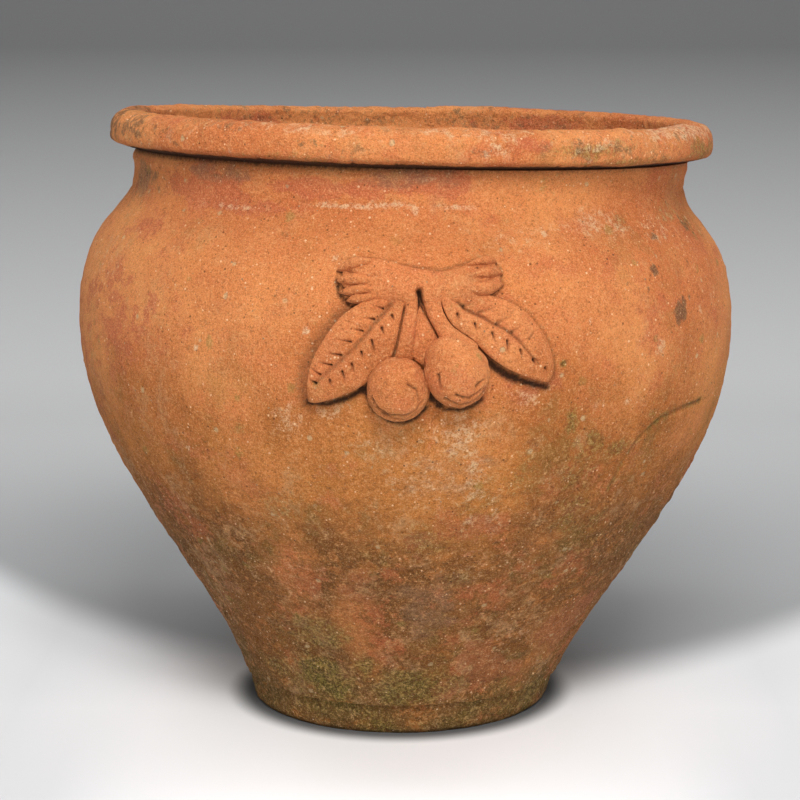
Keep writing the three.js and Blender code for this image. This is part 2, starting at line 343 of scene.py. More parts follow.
def groove(across, z, path, width, deep, tail=1.0):
    """Depth of a tooled groove along a path, which fades to the share tail at its end."""
    path = np.array(path, float)
    before = travel(path)
    best = np.full(len(z), 1e9)
    share = np.zeros(len(z))
    for i, (a, b) in enumerate(zip(path, path[1:])):
        step = b - a
        t = ((across - a[0]) * step[0] + (z - a[1]) * step[1]) / (step @ step)
        t = np.clip(t, 0, 1)
        d = np.hypot(across - a[0] - t * step[0], z - a[1] - t * step[1])
        closer = d < best
        best[closer] = d[closer]
        share[closer] = (before[i] + t[closer] * (before[i + 1] - before[i])) / before[-1]
    fade = 1 + (tail - 1) * share
    return deep * fade * np.exp(-((best / (width / 2)) ** 2))


def blobs(across, z, places, wobble):
    """A stain's strength from 0 to 1.

    Each place is (degrees from the front, height, half width, half height, strength).
    """
    strength = np.zeros(len(z))
    for degrees, height, half_width, half_height, most in places:
        aside = (across - math.radians(degrees) * BELLY[0]) / half_width
        d = np.hypot(aside, (z - height) / half_height)
        strength = np.maximum(strength, most * ramp(d + 0.9 * wobble, 1.35, 0.2))
    return strength


def random_marks(count, seed, heights, radii, depths):
    """Marks for dent, scattered all round the jar."""
    rng = np.random.default_rng(seed)
    spans = ((-180, 180), heights, radii, depths)
    return np.stack([rng.uniform(*span, count) for span in spans], axis=1)


# ---- Stains, placed by degrees from the front and height ----

STAINS = {
    "lime": [
        (-13, 368.3, 46, 3.0, 1.0), (-4, 370, 20, 2.8, 0.95), (8, 369.5, 24, 2.4, 0.7),
        (-34, 364, 40, 2.4, 0.5), (-16, 387, 40, 2, 0.45), (4, 386, 30, 1.6, 0.35),
        (20, 352, 46, 9, 0.3), (25, 353, 5, 3, 0.6), (38, 359, 34, 10, 0.5), (52, 352, 22, 12, 0.35),
        (9, 228, 18, 18, 0.6), (11, 200, 12, 38, 0.5), (15, 178, 9, 32, 0.4), (3, 205, 34, 26, 0.35),
        (45, 277, 5, 9, 0.6), (19, 253, 16, 10, 0.45), (-19, 238, 18, 16, 0.35),
        (-12, 248, 14, 10, 0.45), (33, 60, 34, 20, 0.25), (-5, 226, 24, 12, 0.3), (31, 246, 12, 8, 0.4),
        (-25, 120, 60, 20, 0.22), (18, 140, 50, 20, 0.25), (60, 320, 20, 60, 0.2),
        (-62, 330, 30, 40, 0.2), (140, 200, 60, 90, 0.35), (-140, 230, 70, 60, 0.35), (175, 350, 80, 20, 0.4),
    ],
    "algae": [
        (-25, 48, 56, 24, 1.0), (-24, 78, 38, 20, 0.6), (-45, 44, 40, 18, 0.5), (2, 36, 60, 18, 0.65),
        (31, 172, 24, 34, 0.5), (29, 198, 18, 24, 0.45), (27, 238, 7, 14, 0.6), (33, 222, 10, 9, 0.6),
        (38, 214, 12, 8, 0.6), (45, 234, 9, 5, 0.5), (5, 160, 30, 18, 0.4), (-24, 178, 20, 14, 0.35),
        (-15, 200, 12, 26, 0.25), (43, 360, 10, 6, 0.5), (55, 20, 60, 10, 0.55), (25, 275, 3, 2.6, 0.8),
        (10, 127, 18, 10, 0.3), (67, 350, 14, 10, 0.4), (60, 362, 22, 8, 0.35), (25, 385, 30, 8, 0.3),
        (-28, 230, 6, 4, 0.4), (39, 150, 16, 50, 0.35), (8, 212, 12, 10, 0.3), (19, 205, 10, 22, 0.35),
        (150, 90, 160, 40, 0.5), (-130, 60, 150, 26, 0.6), (170, 230, 120, 30, 0.3),
    ],
    "soot": [
        (51, 300, 8, 8, 0.9), (52.5, 306.5, 4.4, 4.4, 0.85), (54.5, 309, 4, 3, 0.8),
        (46, 328, 4.6, 3.6, 0.85), (38.5, 321, 2.6, 2.4, 0.8), (50, 348, 5, 2.6, 0.7),
        (57, 331, 4, 3, 0.65), (43, 317, 2, 2, 0.7),
        (66, 351, 12, 8, 0.55), (-62, 376, 50, 12, 0.45), (-36, 383, 60, 9, 0.3), (-70, 364, 22, 14, 0.3),
        (-48, 95, 40, 34, 0.25), (-60, 130, 34, 46, 0.25), (-30, 60, 46, 28, 0.3), (61, 258, 8, 6, 0.3),
        (120, 320, 14, 9, 0.7), (135, 300, 9, 6, 0.7), (-150, 335, 12, 8, 0.6), (178, 290, 8, 10, 0.6),
        (-110, 300, 6, 5, 0.6), (-95, 250, 30, 20, 0.3),
    ],
    "rose": [
        (13.5, 34, 18, 9, 0.9), (1.5, 158, 11, 9, 0.6), (2.5, 145, 8, 7, 0.5), (-10, 116, 26, 16, 0.4),
        (31, 176, 14, 20, 0.6), (50, 76, 44, 28, 0.75), (30, 44, 40, 16, 0.7), (20, 62, 22, 16, 0.5),
        (-57, 300, 60, 56, 0.42),
        (-44, 374, 50, 14, 0.9), (-18, 378, 56, 12, 0.9), (5, 383, 36, 9, 0.8), (-30, 366, 60, 9, 0.6),
        (-72, 250, 44, 80, 0.35), (12, 165, 22, 24, 0.4), (-32, 84, 24, 16, 0.35), (14, 90, 24, 14, 0.35),
        (18, 262, 26, 20, 0.4), (24, 192, 12, 16, 0.35), (6, 225, 16, 14, 0.3), (43, 205, 16, 22, 0.3),
        (100, 190, 60, 40, 0.35), (-160, 180, 70, 60, 0.35), (24, 108, 26, 20, 0.3), (-52, 215, 24, 30, 0.25),
    ],
    "mauve": [
        (5, 104, 50, 36, 0.6), (8, 208, 42, 28, 0.4), (-50, 104, 54, 50, 0.4), (-66, 375, 30, 12, 0.8),
        (-2, 385, 46, 6, 0.6), (-40, 384, 60, 6, 0.55), (60, 140, 40, 60, 0.25), (-68, 150, 34, 90, 0.3),
        (44, 175, 22, 26, 0.3),
        (20, 226, 20, 16, 0.3), (-12, 160, 30, 26, 0.2), (130, 120, 80, 50, 0.4), (-140, 110, 70, 50, 0.4),
    ],
    "bright": [
        (-14, 330, 120, 44, 0.45), (-22, 262, 70, 40, 0.25), (58, 214, 30, 20, 0.5), (-26, 118, 30, 40, 0.3),
        (10, 345, 70, 14, 0.35), (25, 312, 40, 26, 0.3), (-13, 88, 24, 36, 0.45), (45, 60, 40, 40, 0.3),
        (28, 150, 30, 14, 0.25), (-30, 200, 60, 40, 0.25), (30, 380, 90, 16, 0.5), (-30, 384, 90, 10, 0.3),
    ],
}

# Degrees from the front and height; then, for the dents, radius and depth.
CREASE = [(60.8, 235), (54, 234), (47.2, 231), (42, 218), (39.8, 200), (39, 184)]
LIME_POPS = [
    (1, 367, 3.4, 1.6), (-12, 338, 2.8, 1.0), (-15.6, 295, 3.4, 1.2), (-35, 279, 2.6, 0.8),
    (-40, 212, 2.2, 0.8), (38, 246, 3, 0.8), (24.5, 353, 2.6, 0.6), (30, 300, 2, 0.5),
]
PITS = [
    (-22.6, 351, 2.6, 1.6), (-21.6, 350.6, 2.4, 1.4), (-38, 295, 1.9, 1.0), (-29, 340, 1.8, 0.9),
    (44, 156, 2.4, 1.4), (50, 152, 2.2, 1.0), (18, 342, 1.8, 0.8), (-46, 153, 2.6, 1.2),
]


def crease_path():
    return [(math.radians(degrees) * BELLY[0], height) for degrees, height in CREASE]


def paint(mesh, across, z, points, hollow_dirt_and_shade, extra=None):
    """Writes the stains' strengths as colour attributes that the clay recipe reads.

    The fourth argument is how much dirt and painted shade each point holds, from 0 to 1.
    """
    wobble = rough_noise(points, 17, seed=3, octaves=5)
    found = {name: blobs(across, z, places, wobble) for name, places in STAINS.items()}
    crease = groove(across, z, crease_path(), 7, 0.8)
    found["algae"] = np.maximum(found["algae"], crease * (0.6 + 0.4 * wobble))
    pops = dent(across, z, [(d, h, r * 1.1, 1.6) for d, h, r, _ in LIME_POPS])
    found["lime"] = np.maximum(found["lime"], np.clip(pops, 0, 1))
    for name, strength in (extra or {}).items():
        found[name] = np.maximum(found[name], strength)
    found["hollow_dirt_and_shade"] = hollow_dirt_and_shade
    blank = 0 * z
    for layer, names in (
        ("stains", ("lime", "algae", "soot")),
        ("tints", ("rose", "mauve", "bright")),
        ("dirt_and_shade", ("hollow_dirt_and_shade", None, None)),
    ):
        attribute = mesh.attributes.new(layer, "FLOAT_COLOR", "POINT")
        values = np.stack([np.clip(found.get(n, blank), 0, 1) for n in names] + [blank + 1], axis=1)
        attribute.data.foreach_set("color", values.astype(np.float32).ravel())


# ---- Clay recipe ----


def rgb(red, green, blue):
    """A display colour from 0 to 255 as linear light."""
    c = np.array([red, green, blue]) / 255
    return (*np.where(c <= 0.04045, c / 12.92, ((c + 0.055) / 1.055) ** 2.4), 1.0)


class Recipe:
    """Builds a node material step by step."""

    def __init__(self, name):
        self.material = bpy.data.materials.new(name)
        self.material.use_nodes = True
        self.tree = self.material.node_tree
        self.shader = self.tree.nodes["Principled BSDF"]
        self.place = self.tree.nodes.new("ShaderNodeTexCoord").outputs["Object"]

    def node(self, kind, inputs, **settings):
        made = self.tree.nodes.new(kind)
        for key, value in settings.items():
            setattr(made, key, value)
        for key, value in inputs.items():
            if isinstance(value, bpy.types.NodeSocket):
                self.tree.links.new(value, made.inputs[key])
            else:
                made.inputs[key].default_value = value
        return made

    def stretched(self, x, y, z, move=0.0):
        scaled = self.node("ShaderNodeMapping", {"Vector": self.place, "Scale": (x, y, z)})
        scaled.inputs["Location"].default_value = (move, move, move)
        return scaled.outputs["Vector"]

    def noise(self, scale, detail=4.0, roughness=0.55, where=None):
        return self.node("ShaderNodeTexNoise", {
            "Vector": where or self.place, "Scale": scale, "Detail": detail, "Roughness": roughness,
        }).outputs["Fac"]

    def cells(self, scale):
        """Scattered cells: how far each point is from its cell's middle, and three chance values."""
        made = self.node("ShaderNodeTexVoronoi", {"Vector": self.place, "Scale": scale}).outputs
        return made["Distance"], self.node("ShaderNodeSeparateColor", {"Color": made["Color"]}).outputs

    def band(self, value, low, high):
        """0 at low to 1 at high, smoothly."""
        return self.node("ShaderNodeMapRange", {
            "Value": value, "From Min": low, "From Max": high, "To Min": 0.0, "To Max": 1.0,
        }, interpolation_type="SMOOTHSTEP").outputs["Result"]

    def level(self, value, low, high):
        """0 at low to 1 at high, evenly."""
        return self.node("ShaderNodeMapRange", {
            "Value": value, "From Min": low, "From Max": high,
        }).outputs["Result"]

    def sum(self, operation, a, b):
        return self.node("ShaderNodeMath", {0: a, 1: b}, operation=operation).outputs["Value"]

    def times(self, a, b):
        return self.sum("MULTIPLY", a, b)

    def mix(self, a, b, factor):
        made = self.tree.nodes.new("ShaderNodeMix")
        made.data_type = "RGBA"
        for socket, value in ((made.inputs[0], factor), (made.inputs[6], a), (made.inputs[7], b)):
            if isinstance(value, bpy.types.NodeSocket):
                self.tree.links.new(value, socket)
            else:
                socket.default_value = value
        return made.outputs[2]

    def layers(self, name):
        """The three strengths painted in a colour attribute."""
        attribute = self.node("ShaderNodeAttribute", {}, attribute_name=name)
        split = self.node("ShaderNodeSeparateColor", {"Color": attribute.outputs["Color"]})
        return [split.outputs[key] for key in ("Red", "Green", "Blue")]

    def height(self):
        return self.node("ShaderNodeSeparateXYZ", {"Vector": self.place}).outputs["Z"]


def clay_material(name, lichen=0.0, drag=1.0, weather=1.0, rosy=0.0):
    """Weathered grogged terracotta.

    lichen adds dark and pale crusts, drag is the strength of the horizontal tears left by the
    potter's rib, weather scales the patchiness and rosy pinks the bare clay.
    """
    m = Recipe(name)
    lime, algae, soot = m.layers("stains")
    rose, mauve, bright = m.layers("tints")
    # The dirt layer: dirt in hollows together with painted shade in recesses, under the rim and round the
    # sprig.
    hollow_dirt_and_shade = m.layers("dirt_and_shade")[0]
    height = m.height()
    patchy = m.noise(8, 6, 0.6)
    mottled = m.noise(34, 8, 0.68)
    blotchy = m.noise(64, 8, 0.7, m.stretched(1, 1, 1.25, 2.2))
    broken = m.level(m.noise(170, 6, 0.72), 0.36, 0.64)
    fine = m.level(m.noise(430, 5, 0.7), 0.34, 0.66)
    grain = m.level(m.noise(1050, 3, 0.75), 0.32, 0.68)

    times = m.times

    def torn(strength, source, by):
        """A strength with its edge broken up by noise."""
        return m.sum("ADD", strength, times(m.sum("SUBTRACT", source, 0.5), by))

    def edged(painted, strength, low, high, least=0.1):
        """A torn strength between two levels, and nothing where none is painted."""
        return times(m.band(strength, low, high), m.band(painted, 0.0, least))

    def stained(clay, colour, share, strength):
        """The clay with this share of a colour wherever the strength is 1."""
        return m.mix(clay, m.mix(clay, colour, share), strength)

    # Bare clay: orange on the shoulder, brown on the belly's underside, olive brown at the foot.
    shoulder = m.mix(rgb(214, 120, 66), rgb(236, 150, 86), m.band(patchy, 0.38, 0.60))
    shoulder = m.mix(shoulder, rgb(208, 106, 66), times(m.band(mottled, 0.50, 0.66), 0.6))
    middle = m.mix(rgb(186, 108, 46), rgb(212, 132, 62), m.band(patchy, 0.38, 0.62))
    low_clay = m.mix(rgb(128, 80, 34), rgb(148, 92, 40), m.band(patchy, 0.38, 0.62))
    low_clay = m.mix(low_clay, rgb(112, 78, 36), m.band(mottled, 0.50, 0.70))
    ragged = torn(height, mottled, 0.10)
    ragged = torn(ragged, patchy, 0.10)
    clay = m.mix(low_clay, middle, m.band(ragged, 0.125, 0.215))
    clay = m.mix(clay, shoulder, m.band(ragged, 0.20, 0.30))
    foot = m.mix(rgb(116, 86, 40), rgb(138, 94, 46), m.band(mottled, 0.4, 0.6))
    clay = m.mix(foot, clay, m.band(ragged, 0.01, 0.07))
    low_half = m.band(ragged, 0.285, 0.15)
    weathered = times(m.sum("ADD", times(low_half, 0.6), 0.4), weather)

    # Patches a few centimetres across: brighter clay, salmon skin, olive film and grey bloom.
    def patch(source, low, high):
        crumbled = torn(torn(source, broken, 0.10), fine, 0.06)
        return times(m.band(crumbled, low, high), weathered)

    clay = stained(clay, rgb(228, 138, 66), 0.4, patch(blotchy, 0.50, 0.64))
    salmon = m.noise(27, 9, 0.66, m.stretched(1, 1, 1, 5.3))
    clay = stained(clay, rgb(206, 108, 66), 0.55, patch(salmon, 0.53, 0.63))
    film = m.noise(21, 9, 0.7, m.stretched(1, 1, 0.8, 8.9))
    clay = stained(clay, rgb(114, 96, 38), 0.55, patch(film, 0.52, 0.66))
    bloom = m.noise(31, 10, 0.74, m.stretched(1, 1, 0.7, 12.4))
    clay = stained(clay, rgb(200, 154, 106), 0.6, patch(bloom, 0.52, 0.66))
    clay = m.mix(clay, rgb(236, 146, 82), times(torn(bright, mottled, 1.2), m.band(bright, 0.0, 0.1)))

    rose_colour = m.mix(rgb(176, 102, 62), rgb(200, 98, 66), m.band(ragged, 0.20, 0.30))
    clay = stained(clay, rose_colour, 0.6, edged(rose, torn(rose, blotchy, 1.8), 0.26, 0.50))
    clay = stained(clay, rgb(150, 114, 86), 0.55, edged(mauve, torn(mauve, blotchy, 1.5), 0.22, 0.7))
    if rosy:
        clay = m.mix(clay, rgb(214, 126, 80), rosy)

    # Algae, soot and lime, each torn by the grain.
    algae_edge = edged(algae, torn(torn(algae, broken, 0.35), fine, 0.25), 0.15, 0.85, 0.12)
    algae_colour = m.mix(rgb(80, 72, 26), rgb(140, 126, 58), m.band(fine, 0.38, 0.62))
    clay = m.mix(clay, algae_colour, times(algae_edge, 0.78))
    soot_edge = edged(soot, torn(soot, broken, 0.6), 0.32, 0.75, 0.12)
    clay = m.mix(clay, rgb(84, 66, 48), times(soot_edge, 0.72))
    lime_edge = edged(lime, torn(lime, broken, 0.7), 0.24, 0.80)
    lime_edge = times(lime_edge, m.band(m.sum("ADD", fine, times(grain, 0.5)), 0.35, 1.0))
    clay = m.mix(clay, rgb(232, 198, 158), times(lime_edge, 0.7))

    # Grog and lichen specks, crowded in some places and rare in others.
    crowded = m.band(m.noise(13, 3), 0.36, 0.68)
    away, chosen = m.cells(430)
    size = m.node("ShaderNodeMapRange", {"Value": chosen["Blue"], "To Min": 0.12, "To Max": 0.36})
    spot = m.band(m.sum("SUBTRACT", away, size.outputs["Result"]), 0.04, -0.10)
    few = m.band(m.sum("ADD", chosen["Red"], times(crowded, 0.10)), 0.92, 0.99)
    few_dark = m.band(m.sum("ADD", chosen["Green"], times(crowded, 0.08)), 0.94, 1.0)
    away, chosen = m.cells(105)
    pebble = times(
        m.band(m.sum("ADD", away, times(fine, 0.12)), 0.30, 0.20), m.band(chosen["Blue"], 0.90, 0.94)
    )
    clay = m.mix(clay, rgb(226, 196, 146), times(pebble, 0.6))
    away, chosen = m.cells(60)
    speck = m.band(m.sum("ADD", away, times(broken, 0.22)), 0.36, 0.22)
    green_speck = times(speck, m.band(chosen["Red"], 0.80, 0.86))
    clay = m.mix(clay, rgb(156, 138, 70), times(green_speck, 0.42))
    if lichen:
        crust = m.band(m.noise(90, 8, 0.68, m.stretched(1, 1, 1, 3.9)), 0.55, 0.66)
        crust = times(crust, m.band(m.noise(16, 4), 0.42, 0.60))
        clay = m.mix(clay, rgb(118, 92, 62), times(crust, 0.75 * lichen))
        pale = m.band(m.noise(120, 8, 0.72, m.stretched(1, 1, 1, 3.1)), 0.58, 0.68)
        pale = times(pale, m.band(m.noise(20, 4, 0.6, m.stretched(1, 1, 1, 6.6)), 0.46, 0.6))
        clay = m.mix(clay, rgb(224, 184, 146), times(pale, 0.6 * lichen))

    # Tears left by the rib, then painted highlights on every raised grain and painted shade in every low one,
    # pale grit specks that also serve as painted glints, dark specks, and the painted shade and dirt of the
    # dirt layer.
    tears = m.band(m.noise(1, 4, 0.62, m.stretched(120, 120, 430)), 0.58, 0.72)
    tears = times(times(tears, low_half), drag)
    clay = m.mix(clay, rgb(74, 46, 22), times(tears, 0.46))
    rugged = m.sum("ADD", times(low_half, 0.3), 0.7)
    relief = m.sum("ADD", times(fine, 0.72), times(broken, 0.28))
    # Near-black painted shade, with some dirt, wherever the dirt layer is strong.
    filth_and_shade = edged(hollow_dirt_and_shade, torn(hollow_dirt_and_shade, fine, 0.3), 0.10, 0.95)
    for colour, where, share in (
        (rgb(250, 190, 126), m.band(relief, 0.52, 0.92), times(rugged, 0.38)),
        (rgb(84, 42, 12), m.band(relief, 0.44, 0.06), times(rugged, 0.48)),
        (rgb(84, 42, 12), m.band(grain, 0.44, 0.05), 0.36),
        (rgb(255, 208, 150), m.band(grain, 0.56, 0.95), 0.32),
        (rgb(255, 214, 166), times(spot, few), 0.75),
        (rgb(70, 38, 16), times(spot, few_dark), 0.7),
        (rgb(30, 16, 7), filth_and_shade, 0.93),
    ):
        clay = m.mix(clay, colour, times(where, share))

    m.tree.links.new(clay, m.shader.inputs["Base Color"])
    rough = m.node("ShaderNodeMapRange", {"Value": fine, "To Min": 0.82, "To Max": 0.98})
    m.tree.links.new(rough.outputs["Result"], m.shader.inputs["Roughness"])
    m.shader.inputs["Specular IOR Level"].default_value = 0.2

    coarse = m.sum("ADD", times(low_half, 0.6), 0.7)
    bumps = m.sum("ADD", times(relief, coarse), times(grain, 0.25))
    bumps = m.sum("SUBTRACT", bumps, times(tears, 0.35))
    bumps = m.sum("SUBTRACT", bumps, times(pebble, 0.3))
    bump = m.node("ShaderNodeBump", {"Height": bumps, "Strength": 1.0, "Distance": 0.0018})
    m.tree.links.new(bump.outputs["Normal"], m.shader.inputs["Normal"])
    return m.material


WALL_CLAY = clay_material("wall_clay")
RIM_CLAY = clay_material("rim_clay", lichen=1.0, drag=0.0)
FOOT_CLAY = clay_material("foot_clay")
SPRIG_CLAY = clay_material("sprig_clay", drag=0.0, weather=0.9, rosy=0.22)


# ---- Finishing a piece ----


def finish_piece(mesh, name, material, sharp=50.0):
    """Puts a finished mesh in the scene, in place of the solid of the same name."""
    mesh.materials.append(material)
    mesh.polygons.foreach_set("use_smooth", np.ones(len(mesh.polygons), bool))
    mesh.set_sharp_from_angle(angle=math.radians(sharp))
    piece = in_scene("jar_" + name, mesh)
    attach(piece, "root")
    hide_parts(name)


# ---- The turned sections ----

RANDOM_PITS = np.vstack([
    random_marks(340, 21, (30, 250), (1.2, 2.3), (0.5, 1.4)),
    random_marks(120, 22, (250, 390), (1.1, 1.8), (0.4, 1.0)),
])
GRIT_BUMPS = random_marks(420, 23, (26, 390), (1.3, 2.6), (0.3, 0.9))
LEAF_SHADOW = [(-38, 309), (-47, 299), (-56, 287), (-62, 274), (-65, 260), (-64, 250)]
SPRIG_SHADOWS = [  # painted shadows under and round the sprig's pieces: path, width and strength
    ([(-62, 251), (-48, 251), (-35, 255.5), (-24, 262)], 4.0, 1.0),
    ([(-22, 268), (-24.5, 259), (-20, 247.5), (-10, 241), (-2, 240), (6, 243), (12, 250)], 3.8, 0.9),
    ([(-28, 262), (-22, 257)], 6.0, 1.0),
    ([(14, 262), (15.5, 256), (21, 252)], 6.0, 1.0),
    ([(19, 251), (24, 248.8), (33, 248.0), (41, 250.5), (47, 255)], 4.0, 0.9),
    ([(47, 281), (54, 275), (62, 269.5), (68, 267)], 7.0, 1.0),
    ([(62, 269.5), (76, 264.0), (89, 260.5)], 4.6, 1.0),
    ([(7, 319), (7.6, 313), (9.5, 307)], 4.4, 1.0),
    ([(-45, 326), (-42, 317), (-34, 311), (-24, 312.5)], 3.4, 0.85),
    ([(-40, 338), (-25, 339), (0, 335), (22, 333), (40, 337.5), (52, 340.5), (61, 334), (61, 323)],
     3.0, 0.5),
    ([(52, 317), (66, 314.5), (78, 307), (88, 294), (94, 280), (94, 266)], 3.0, 0.45),
    ([(10, 306), (14, 298), (18, 290), (14, 281)], 3.4, 0.6),
]


def outside_relief(across, z, points):
    """How far the wall's outside stands out from its outline, and the dirt and painted shade it holds."""
    level = np.stack([0 * z, z + 0.004 * across, 0 * z], axis=1)
    low_half = ramp(z, 262, 150)
    coarse = 0.75 + 0.55 * low_half
    relief = 0.6 * noise(points, 75, 1) + 0.28 * noise(points, 26, 2)
    relief += 0.24 * noise(level, 15, 3) + 0.16 * noise(level, 5.5, 4)
    relief += coarse * (0.30 * noise(points, 8, 5) + 0.24 * noise(points, 3.9, 6))
    relief += coarse * 0.16 * noise(points, 2.3, 9)
    plates = noise(points / np.array([1.3, 1.3, 0.7]), 9.5, 7)
    step = ramp(plates, 0.16, 0.24) - ramp(plates, -0.30, -0.36)
    relief += 0.34 * low_half * step
    torn = noise(np.stack([across / 9.0, z / 2.8, 0 * z], axis=1), 1.0, 7)
    tears = ramp(torn, 0.42, 0.72) * ramp(z, 262, 180)
    relief -= 0.8 * tears
    pits = dent(across, z, RANDOM_PITS) + dent(across, z, PITS)
    relief -= pits
    relief += 0.7 * dent(across, z, GRIT_BUMPS)
    relief -= 0.5 * dent(across, z, LIME_POPS)
    fold = groove(across, z, crease_path(), 3.6, 1.2, 0.5)
    relief -= fold
    relief += 1.0 * blobs(across, z, [(13.5, 34, 18, 9, 1)], 0.4 * noise(points, 6, 8))
    relief += 0.8 * blobs(across, z, [(8.5, 227, 15, 10, 1)], 0.4 * noise(points, 6, 8))
    seam = ramp(np.abs(z - NECK_JOINT - 0.01 * across), 3.0, 0.0)
    relief -= 0.8 * seam
    left_side = ramp(across, 90, -60)
    undercut = (2.6 + 2.2 * left_side) * ramp(z, NECK_TOP[1] - 6.5, NECK_TOP[1] - 1.5)
    relief -= undercut
    # A soft hollow along the left leaf's outer edge, also painted with shadow.
    leaf_hollow_and_shadow = groove(across, z, LEAF_SHADOW, 13, 1.0)
    relief -= 1.5 * leaf_hollow_and_shadow
    dirt_and_shade = np.clip(0.3 * pits + 0.2 * tears * low_half, 0, 0.5)
    dirt_and_shade = np.maximum(dirt_and_shade, 0.5 * fold)
    # Painted shade under the rim's overhang, deeper on the left.
    dirt_and_shade = np.maximum(dirt_and_shade, (0.55 + 0.45 * left_side) * ramp(z, NECK_TOP[1] - 5.0, NECK_TOP[1] - 2.0))
    # Painted shadow in the band beside the left leaf.
    dirt_and_shade = np.maximum(dirt_and_shade, 0.5 * leaf_hollow_and_shadow)
    # Painted shadows under and round the sprig.
    for path, width, strength in SPRIG_SHADOWS:
        dirt_and_shade = np.maximum(dirt_and_shade, groove(across, z, path, width, strength))
    return relief, dirt_and_shade


def inside_relief(z, points):
    """Finger ridges left by throwing, on the inside."""
    level = np.stack([0 * z, z, 0 * z], axis=1)
    return 0.6 * noise(level, 11, 12) + 0.7 * noise(points, 40, 13) + 0.2 * noise(points, 6, 14)


def wall_section(name, low, high):
    """A ring of thrown wall between two heights, both faces following the outline."""
    heights = OUTLINE[(OUTLINE[:, 1] > low) & (OUTLINE[:, 1] < high), 1]
    heights = np.r_[low, heights, high]
    outside = spaced(np.stack([wall_radius(heights), heights], axis=1), 1.95)
    along_radius, _ = wall_facing(heights)
    inner = np.stack([wall_radius(heights) - WALL * along_radius, heights], axis=1)
    inside = spaced(inner, 13.0)[::-1]
    mesh = turned([*outside, *inside], name)
    points = points_of(mesh)
    z = points[:, 2]
    radius, angle, across = round_jar(points)
    outer = radius > wall_radius(z) - WALL / 2
    relief, dirt_and_shade = outside_relief(across, z, points)
    relief = np.where(outer, relief, -inside_relief(z, points))
    facing_radius, facing_z = wall_facing(z)
    free = ramp(np.minimum(z - low, high - z), 0.0, 1.5)
    out = radius + relief * facing_radius
    up = z + relief * facing_z * free
    moved = np.stack([out * np.sin(angle), -out * np.cos(angle), up], axis=1)
    paint(mesh, across, z, points, np.where(outer, dirt_and_shade, 0))
    put_points(mesh, slump(moved) * MM)
    finish_piece(mesh, name, WALL_CLAY)


wall_section("lower_wall", FLOOR_THICKNESS, WALL_JOINT)
wall_section("upper_wall", WALL_JOINT, NECK_JOINT)
wall_section("neck_collar", NECK_JOINT, NECK_TOP[1])


def rim_profile():
    """The rolled rim: undercut beneath, full outer face, soft lip and the mouth's inner face."""
    base = NECK_TOP[1]
    throat = wall_radius(base) - WALL
    widest = np.array([NECK_TOP[0] + 12.0, base + 11.2])
    crest = np.array([widest[0] - 15.0, CREST_HEIGHT])
    corner = np.array([NECK_TOP[0] + 7.5, base + 3.4])
    lip = crest + np.array([-9.0, -5.0])
    quarter = np.linspace(0, math.pi / 2, 20)
    roll = np.stack([
        crest[0] + 15.0 * np.cos(quarter) ** 0.86,
        widest[1] + (crest[1] - widest[1]) * np.sin(quarter) ** 0.86,
    ], axis=1)
    line = [
        (throat, base), (NECK_TOP[0] - 5.0, base), (NECK_TOP[0] - 4.0, base + 1.2),
        (NECK_TOP[0] + 2.5, base + 1.9),
        *bezier([corner, (widest[0] + 0.8, corner[1] + 1.2), widest], 8),
        *roll[1:],
        *bezier([crest, (lip[0], crest[1]), lip], 6)[1:],
        *bezier([lip, ((lip[0] + throat) / 2 + 5, base + 5.6), (throat, base)], 8)[1:],
    ]
    return spaced(line, 1.15)[:-1]


